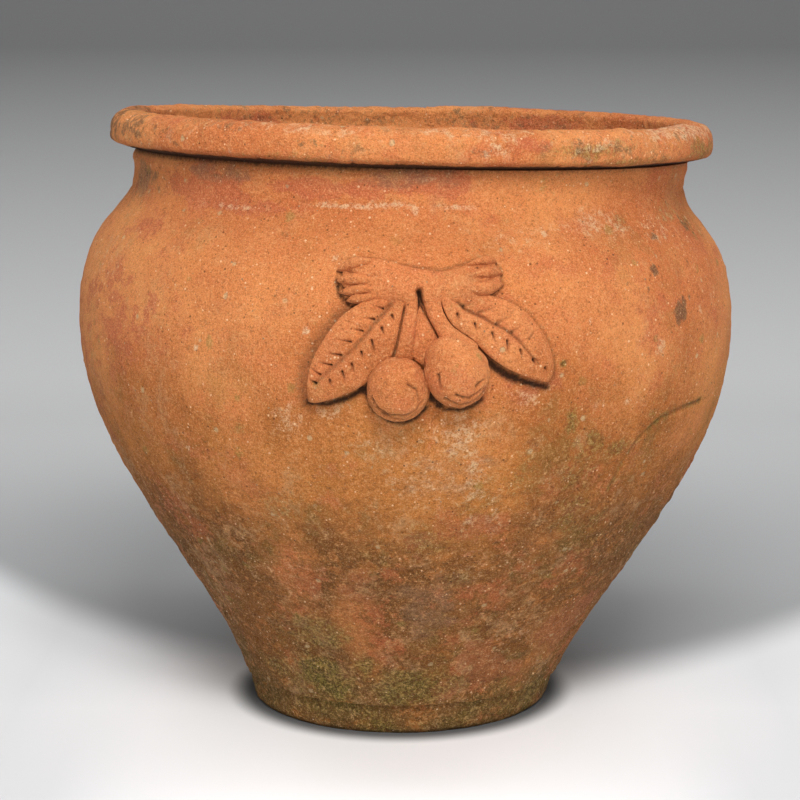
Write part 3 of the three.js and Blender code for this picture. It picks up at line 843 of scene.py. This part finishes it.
def rim_band():
    mesh = turned(rim_profile(), "rim_band")
    points = points_of(mesh)
    x, y, z = points.T
    radius, _, across = round_jar(points)
    normal = points_of(mesh, "normal")
    ring = np.stack([x, y, 0 * z], axis=1)
    free = ramp(z, NECK_TOP[1] + 0.5, NECK_TOP[1] + 4)
    relief = 0.7 * noise(ring, 60, 31) + 0.45 * noise(points, 24, 32) + 0.40 * noise(points, 9, 33)
    relief += 0.34 * noise(points, 4.2, 34) + 0.26 * noise(points, 2.4, 35)
    worn = random_marks(420, 36, (NECK_TOP[1] + 3, CREST_HEIGHT + 4), (1.2, 2.6), (0.5, 1.4))
    pits = dent(across, z + 4 * ramp(radius, 200, 190), worn)
    edge = ramp(z, CREST_HEIGHT - 3.5, CREST_HEIGHT)
    chips = ramp(noise(points, 5.0, 38), 0.25, 0.6) * edge
    relief -= pits + 0.9 * chips
    moved = points + normal * (relief * free)[:, None]
    moved[:, 2] += 0.7 * noise(ring, 110, 37) * ramp(z, NECK_TOP[1], CREST_HEIGHT)
    back_left = ramp(y, 20, 150) * ramp(x, 40, -60)
    moved[:, 2] -= 1.7 * back_left * ramp(z, NECK_TOP[1], CREST_HEIGHT)
    crust = rough_noise(points, 12, 41, 4)
    extra = {
        "soot": np.maximum(
            blobs(across, z, [(-62, 410, 60, 11, 0.55), (-84, 408, 60, 20, 0.8), (-34, 415, 22, 4, 0.5),
                              (12, 404, 9, 4, 0.6), (-46, 402, 6, 4, 0.6), (60, 412, 30, 6, 0.35)], crust),
            blobs(across, z, [(-150, 408, 150, 18, 0.4), (160, 405, 70, 14, 0.4)], crust),
        ),
        "lime": blobs(across, z, [(62, 416, 70, 7, 0.75), (12, 415, 60, 5, 0.5), (14, 406, 12, 7, 0.6),
                                  (33, 410, 26, 7, 0.5), (-20, 415, 70, 4, 0.45), (-60, 398, 60, 4, 0.3)],
                      rough_noise(points, 7, 42, 4)),
        "algae": blobs(across, z, [(33, 406, 40, 8, 0.6), (-100, 400, 60, 10, 0.4), (68, 402, 40, 9, 0.55),
                                   (-20, 398, 90, 4, 0.3), (45, 398, 80, 4, 0.5)],
                       rough_noise(points, 8, 43, 4)),
        "rose": blobs(across, z, [(20, 409, 18, 6, 0.6), (-140, 405, 60, 10, 0.5), (150, 405, 50, 9, 0.6)],
                      crust),
    }
    # Painted shade on the rim's underside and the lower part of its face, and dirt and shade in its pits and
    # chips.
    under = ramp(z, NECK_TOP[1] + 4.5, NECK_TOP[1] + 2.0) * ramp(radius, 190, 194)
    dirt_and_shade = np.maximum(np.clip(0.22 * pits, 0, 0.4), under)
    dirt_and_shade = np.maximum(dirt_and_shade, 0.38 * ramp(z, NECK_TOP[1] + 8.5, NECK_TOP[1] + 3) * ramp(radius, 190, 194))
    dirt_and_shade = np.maximum(dirt_and_shade, 0.35 * chips)
    paint(mesh, across, z, points, dirt_and_shade, extra)
    put_points(mesh, slump(moved) * MM)
    finish_piece(mesh, "rim_band", RIM_CLAY)


rim_band()


def floor_slab():
    """The round slab, with its drain holes cut through."""
    low, high = FOOT_RADII
    under = spaced([(3.0, 0), (low - FOOT_EDGE_ROUND, 0)], 7.0)
    edge = spaced([(low, FOOT_EDGE_ROUND), (high, FLOOR_THICKNESS)], 1.7)
    over = spaced([(high, FLOOR_THICKNESS), (3.0, FLOOR_THICKNESS)], 8.0)
    profile = [(0.0, 0.0), *under, *edge, *over[1:], (0.0, FLOOR_THICKNESS)]
    mesh = turned(profile, "floor_slab", closed=False)
    points = points_of(mesh)
    x, y, z = points.T
    radius, _, across = round_jar(points)
    side = ramp(radius, low - 6, low - 1)
    pits = dent(across, z, random_marks(150, 54, (2, 21), (2.0, 5), (0.5, 1.7)))
    relief = 0.6 * noise(points, 30, 51) + 0.5 * noise(points, 9, 52) + 0.35 * noise(points, 4, 53)
    relief -= pits + 0.4 * ramp(z, 17, 22)
    outward = np.stack([x, y, 0 * z], axis=1) / np.maximum(radius, 1)[:, None]
    put_points(mesh, (points + outward * (side * relief)[:, None]) * MM)
    slab = in_scene("slab", mesh)
    cutter = bmesh.new()
    for i in range(3):
        turn = 2 * math.pi * (i + 0.25) / 3
        spot = Vector((DRAIN_RING * math.cos(turn), DRAIN_RING * math.sin(turn), DRILL_HEIGHT)) * MM
        bmesh.ops.create_cone(
            cutter, cap_ends=True, segments=48, radius1=DRAIN_RADIUS * MM,
            radius2=DRAIN_RADIUS * DRAIN_FLARE * MM, depth=DRILL_LENGTH * MM,
            matrix=Matrix.Translation(spot),
        )
    drill_mesh = bpy.data.meshes.new("drills")
    cutter.to_mesh(drill_mesh)
    cutter.free()
    drills = in_scene("drills", drill_mesh)
    cut = slab.modifiers.new("drains", "BOOLEAN")
    cut.object, cut.operation, cut.solver = drills, "DIFFERENCE", "EXACT"
    seen = bpy.context.evaluated_depsgraph_get()
    drilled = bpy.data.meshes.new_from_object(slab.evaluated_get(seen))
    bpy.data.objects.remove(slab)
    bpy.data.objects.remove(drills)
    points = points_of(drilled) / MM
    z = points[:, 2]
    across = round_jar(points)[2]
    # Darker towards the slab's underside and its top face, with random patches.
    dirt_and_shade = 0.35 * ramp(z, 5, 0) + 0.22 * ramp(z, 18, 22)
    dirt_and_shade += 0.25 * ramp(noise(points, 7, 56), 0.1, 0.6)
    algae = {"algae": 0.42 + 0.45 * noise(points, 22, 55)}
    paint(drilled, across, z, points, np.clip(dirt_and_shade, 0, 0.8), algae)
    put_points(drilled, slump(points) * MM)
    finish_piece(drilled, "floor_slab", FOOT_CLAY)


floor_slab()


# ---- The sprig ----


def along_edge(points, share):
    """Places at even shares of the way along a smooth curve through points."""
    p = np.array(points, float)
    padded = np.vstack([2 * p[0] - p[1], p, 2 * p[-1] - p[-2]])
    fine = []
    for i in range(len(p) - 1):
        a, b, c, d = padded[i : i + 4]
        t = np.linspace(0, 1, 24, endpoint=False)[:, None]
        fine.append(0.5 * (2 * b + (c - a) * t + (2 * a - 5 * b + 4 * c - d) * t**2
                           + (3 * b - a - 3 * c + d) * t**3))
    line = np.vstack([*fine, p[-1:]])
    return points_at(line, share * travel(line)[-1])


def ball(shape, around, along, cuts):
    """Adds a finely divided unit sphere to a bmesh: its new points and their directions."""
    before = len(shape.verts)
    made = bmesh.ops.create_uvsphere(shape, u_segments=around, v_segments=along, radius=1)
    shape.edges.index_update()
    edges = sorted({e for v in made["verts"] for e in v.link_edges}, key=lambda e: e.index)
    bmesh.ops.subdivide_edges(shape, edges=edges, cuts=cuts, use_grid_fill=True)
    shape.verts.ensure_lookup_table()
    verts = shape.verts[before:]
    p = np.array([v.co for v in verts])
    return verts, p / np.linalg.norm(p, axis=1)[:, None]


def place(verts, spots):
    for vert, spot in zip(verts, slump(spots) * MM):
        vert.co = spot


def pad(shape, edges, stand, size, fullness, marks=None, coarse=1.0, seed=0):
    """Adds a pad of clay: closed, domed between its two edges, its back in the wall.

    stand and fullness are numbers or functions of the share of the way along and the side, from -1
    on the right edge to 1 on the left. marks returns the depths to cut and the dirt and painted shade
    in them. The dirt and painted shade on each point is returned, the shade darkest at the pad's edges and
    lower side.
    """
    verts, p = ball(shape, *size)
    ring = np.maximum(np.hypot(p[:, 0], p[:, 1]), 1e-9)
    at_pole = ring < 1e-6
    side = np.where(at_pole, 0, p[:, 0] / ring)
    lift = np.where(at_pole, 0, p[:, 1] / ring)
    share = np.arccos(np.clip(p[:, 2], -1, 1)) / math.pi
    on_left, on_right = along_edge(edges["left"], share), along_edge(edges["right"], share)
    across, z = (on_right + (on_left - on_right) * ((1 + side) / 2)[:, None]).T
    height = stand(share, side) if callable(stand) else stand
    power = fullness(share, side) if callable(fullness) else fullness
    rise = np.maximum(lift, 0) * np.sin(math.pi * share)
    off = np.where(lift > 0, height * rise**power, -1.0)
    body = on_wall(across, z, off)
    rough = 0.5 * noise(body, 11, 61 + seed) + 0.42 * noise(body, 4.2, 62 + seed)
    rough = coarse * (rough + 0.34 * noise(body, 2.1, 63 + seed))
    cut, grime_and_shade = marks(across, z) if marks is not None else (0 * z, 0 * z)
    top = ramp(lift, 0.0, 0.3) * ramp(np.sin(math.pi * share), 0.0, 0.15)
    off = off + np.where(lift > 0, (rough - cut) * top, 0)
    place(verts, on_wall(across, z, off))
    # The ball's poles lie the other way along the wall, so the pad came out as its mirror image.
    bmesh.ops.reverse_faces(shape, faces=list({f for vert in verts for f in vert.link_faces}))
    # Painted shade at the pad's edges, strongest along its lower side, and in its low spots.
    below = ramp(z - (on_left + on_right)[:, 1] / 2, 0.5, -1.5)
    flank_shade = 0.3 * ramp(rise, 0.34, 0.05) + (0.2 + 0.45 * below) * ramp(rise, 0.13, 0.01)
    low = 0.25 * ramp(rough, -0.3, -1.0)
    return np.maximum(np.maximum(np.clip(grime_and_shade, 0, 1), flank_shade), low)


def fruit(shape, seat, seed, neck, folds):
    """A round fruit seated on the wall, creased along folds.

    neck is the direction and height of the bulge at its stalk.
    """
    across, z, radius = seat
    verts, p = ball(shape, 50, 36, 3)
    solid = p * radius
    rough = 0.6 * noise(solid, 9, seed) + 0.42 * noise(solid, 4.2, seed + 1)
    rough += 0.28 * noise(solid, 2.1, seed + 2)
    sway = 0.8 * noise(solid, 5, seed + 3)
    wrinkles = sum(groove(solid[:, 0], solid[:, 1] + sway, path, 2.0, 1.0, 0.6) for path in folds)
    wrinkles = np.clip(wrinkles, 0, 1) * ramp(p[:, 2], 0.0, 0.2)
    direction, height = neck
    toward = p @ np.array([math.cos(direction), math.sin(direction), 0.0])
    size = radius + rough - 1.4 * wrinkles + height * ramp(toward, 0.3, 1.0) ** 3.5
    p = p * size[:, None]
    off = np.maximum(5.5 + p[:, 2], -1.0)
    place(verts, on_wall(across + p[:, 0], z + p[:, 1], off))
    # Painted shade in the creases and low spots, on the fruit's lower side and where it meets the wall.
    dirt_and_shade = np.maximum(0.66 * wrinkles, 0.28 * ramp(rough, -0.25, -1.0))
    dirt_and_shade = np.maximum(dirt_and_shade, 0.75 * ramp(p[:, 1], -0.82 * radius, -1.0 * radius))
    return np.maximum(dirt_and_shade, 0.9 * ramp(off, 3.5, 0.5))


def sprig_piece(name, build):
    """Makes a piece of the sprig. build adds its parts to a bmesh and returns their dirt and painted shade.
    """
    shape = bmesh.new()
    dirt_and_shade = np.concatenate(build(shape))
    mesh = mesh_from(shape, name)
    points = points_of(mesh) / MM
    across = round_jar(points - (SPRIG_LEAN, 0, 0))[2]
    paint(mesh, across, points[:, 2], points, dirt_and_shade)
    finish_piece(mesh, name, SPRIG_CLAY, sharp=70)


def tooled(across, z, cuts, width, deep, tail):
    """Depth of several like cuts."""
    return sum(groove(across, z, cut, width, deep, tail) for cut in cuts)


def left_leaf(shape):
    def marks(across, z):
        rib = groove(across, z, LEFT_MIDRIB, 4.0, 2.1, 0.7)
        nicks = tooled(across, z, LEFT_NICKS, 1.3, 2.4, 0.25)
        stabs = tooled(across, z, LEFT_STABS, 1.6, 2.6, 0.1)
        # Painted shade, with dirt, in the cuts.
        return rib + nicks + stabs, 0.25 * rib + 0.32 * nicks + 0.36 * stabs

    def stand(share, side):
        return 7.0 + 2.2 * ramp(side, -0.6, 0.9) + 1.6 * ramp(share, 0.5, 1.0) + 1.6 * ramp(share, 0.2, 0)

    return [pad(shape, LEFT_LEAF, stand, (75, 48, 3), 0.22, marks, seed=0)]


def right_leaf(shape):
    def marks(across, z):
        rib = groove(across, z, RIGHT_MIDRIB, 2.4, 2.0, 0.7)
        stabs = tooled(across, z, RIGHT_STABS, 1.6, 2.6, 0.15)
        gouges = tooled(across, z, RIGHT_GOUGES, 2.6, 1.5, 0.5)
        # Painted shade, with dirt, in the cuts.
        return rib + stabs + gouges, 0.32 * rib + 0.36 * stabs + 0.36 * gouges

    def stand(share, side):
        return 7.0 + 2.6 * ramp(side, 0.4, -0.9) + 1.4 * ramp(share, 0.5, 1.0) + 2.0 * ramp(share, 0.25, 0)

    return [pad(shape, RIGHT_LEAF, stand, (75, 48, 3), 0.22, marks, seed=5)]


def twig(shape):
    """The branch, its cut ends split into fingers, smeared down over the stalks in its middle."""
    def marks(across, z):
        crease = groove(across, z, [(-38, 330.5), (-33, 327.6), (-28, 325.8), (-15, 326.6)], 2.2, 1.6, 0.3)
        scratch = groove(across, z, [(38.5, 327), (46, 331.5)], 1.5, 1.1, 0.7)
        scar = groove(across, z, [(-12, 331), (8, 329), (22, 327.5)], 5.0, 0.7, 0.8)
        hollow = groove(across, z, [(7.2, 319), (7.9, 314.5), (9.6, 309.5)], 3.4, 9.0)
        # Painted shade, with dirt, in the cuts and the deep hollow under the twig.
        return crease + scratch + scar + hollow, 0.36 * crease + 0.36 * scratch + 0.14 * hollow

    def stand(share, side):
        ends = ramp(abs(share - 0.5), 0.34, 0.5)
        return 11.2 - 2.6 * ramp(abs(share - 0.56), 0.28, 0.0) - 1.2 * ends

    def fullness(share, side):
        middle = ramp(abs(share - 0.5), 0.26, 0.14)
        return 0.44 + 0.8 * middle * ramp(side, 0.1, -0.8)

    parts = [pad(shape, TWIG, stand, (60, 60, 3), fullness, marks, 1.1, seed=10)]
    for finger, high, seed in TWIG_FINGERS:
        parts.append(pad(shape, finger, high, (24, 22, 2), 0.6, coarse=1.1, seed=seed))
    return parts


def left_stalk(shape):
    def marks(across, z):
        crease = groove(across, z, [(5.6, 302), (5, 292), (3.6, 284)], 2.0, 1.1, 1.0)
        # Painted shade, with dirt, in the crease.
        return crease, 0.28 * crease

    def shaded(across, z):
        return 0 * z, groove(across, z, [(17.5, 290), (14.5, 283), (11, 274)], 3.4, 1.0, 0.8)

    return [
        pad(shape, LEFT_STALK, lambda share, side: 8.2 + 1.6 * ramp(share, 0.3, 0), (32, 36, 3), 0.4,
            marks, seed=15),
        pad(shape, WEB, 5.8, (24, 24, 3), 0.3, shaded, seed=16),
    ]


def right_stalk(shape):
    def stand(share, side):
        return 8.6 + 1.4 * ramp(share, 0.3, 0) + 9.0 * ramp(share, 0.45, 0.95)

    return [pad(shape, RIGHT_STALK, stand, (36, 40, 3), 0.42, seed=20)]


for name, build in {
    "twig": twig,
    "left_leaf": left_leaf,
    "right_leaf": right_leaf,
    "left_stalk": left_stalk,
    "right_stalk": right_stalk,
    "left_fruit": lambda shape: [fruit(shape, FRUIT_SEATS["left"], 71, (1.4, 1.0), FRUIT_FOLDS["left"])],
    "right_fruit": lambda shape: [fruit(shape, FRUIT_SEATS["right"], 81, (2.0, 4.5), FRUIT_FOLDS["right"])],
}.items():
    sprig_piece(name, build)


# ---- Floor, backdrop, light and camera ----

CAMERA_PLACE = (0, -1.501, 0.4772)
LOOKING_DOWN = 9.934  # degrees
LENS = 95.28


def sweep():
    """A pale floor that curves up into a plain backdrop."""
    shape = bmesh.new()
    turns = np.linspace(0.1, math.pi / 2, 16)
    bend = [(1.1 + 0.9 * math.sin(t), 0.9 - 0.9 * math.cos(t)) for t in turns]
    profile = [(-2.6, 0), (1.1, 0), *bend, (2.0, 3.4)]
    verts = [shape.verts.new((-3.5, y, z)) for y, z in profile]
    edges = [shape.edges.new(pair) for pair in zip(verts, verts[1:])]
    made = bmesh.ops.extrude_edge_only(shape, edges=edges)["geom"]
    far_side = [v for v in made if isinstance(v, bmesh.types.BMVert)]
    bmesh.ops.translate(shape, verts=far_side, vec=(7, 0, 0))
    bmesh.ops.recalc_face_normals(shape, faces=shape.faces)
    mesh = mesh_from(shape, "sweep")
    mesh.polygons.foreach_set("use_smooth", np.ones(len(mesh.polygons), bool))
    floor = in_scene("sweep", mesh)

    # Paper with painted shade: a grey painted shadow behind the jar, painted shade darkening up the backdrop
    # and towards the sides and front corners, and a painted contact shadow round its foot.
    m = Recipe("sweep_paper")
    split = m.node("ShaderNodeSeparateXYZ", {"Vector": m.place}).outputs
    aside = m.times(split["X"], split["X"])
    depth = m.sum("SUBTRACT", split["Y"], m.times(aside, 2.0))
    depth = m.sum("ADD", depth, m.times(split["X"], 0.16))
    # Painted shadow behind the jar, and painted shade darkening up the backdrop.
    painted_shadow_behind = m.mix(rgb(162, 163, 164), rgb(222, 222, 222), m.band(split["Y"], 0.15, 1.2))
    painted_shadow_behind = m.mix(painted_shadow_behind, rgb(120, 120, 120), m.level(split["Z"], 0.02, 0.45))
    # Painted shade towards the sides and the front corners.
    near = m.mix(rgb(255, 255, 255), rgb(232, 233, 234), m.level(aside, 0.03, 0.075))
    painted_front_shade = m.times(m.level(split["Y"], -0.05, -0.30), m.level(aside, 0.005, 0.05))
    near = m.mix(near, rgb(204, 206, 208), painted_front_shade)
    tone = m.mix(near, painted_shadow_behind, m.band(depth, -0.04, 0.07))
    # Painted contact shadow round the foot.
    spread = m.node("ShaderNodeVectorMath", {0: m.stretched(1, 1, 0)}, operation="LENGTH")
    painted_foot_shadow = m.band(spread.outputs["Value"], 0.130, 0.108)
    tone = m.mix(tone, rgb(60, 60, 60), m.times(painted_foot_shadow, 0.92))
    m.tree.links.new(tone, m.shader.inputs["Base Color"])
    m.shader.inputs["Roughness"].default_value = 0.9
    mesh.materials.append(m.material)


def softbox(name, place, target, size, power):
    """A flat light of this width and height, turned to its target."""
    data = bpy.data.lights.new(name, "AREA")
    data.shape = "RECTANGLE"
    data.size, data.size_y = size
    data.energy = power
    lamp = in_scene(name, data)
    lamp.location = place
    lamp.rotation_euler = (Vector(target) - Vector(place)).to_track_quat("-Z", "Y").to_euler()


sweep()
softbox("key", (0.12, -1.4, 1.45), (0, -0.05, 0.2), (0.7, 0.5), 27.5)
softbox("left_fill", (-1.8, -0.8, 0.45), (0, 0, 0.15), (0.9, 0.8), 3.5)
softbox("right_fill", (1.8, -0.8, 0.45), (0, 0, 0.15), (0.9, 0.8), 6.2)
softbox("front_fill", (0, -2.4, 0.5), (0, 0, 0.2), (1.4, 0.8), 16)
softbox("floor_light", (0, -0.1, 2.0), (0, 0, 0), (2.6, 0.4), 18.5)
softbox("backdrop_light", (0, 1.0, 1.9), (0, 1.9, 0.1), (2.4, 0.5), 5.5)

world = bpy.data.worlds.new("studio")
bpy.context.scene.world = world
world.use_nodes = True
world.node_tree.nodes["Background"].inputs["Color"].default_value = (0.75, 0.78, 0.82, 1)
world.node_tree.nodes["Background"].inputs["Strength"].default_value = 0.16
bpy.context.scene.view_settings.view_transform = "Standard"

camera_data = bpy.data.cameras.new("camera")
camera_data.sensor_width = 36
camera_data.lens = LENS
camera = in_scene("camera", camera_data)
camera.location = CAMERA_PLACE
camera.rotation_euler = (math.radians(90 - LOOKING_DOWN), 0, 0)
bpy.context.scene.camera = camera
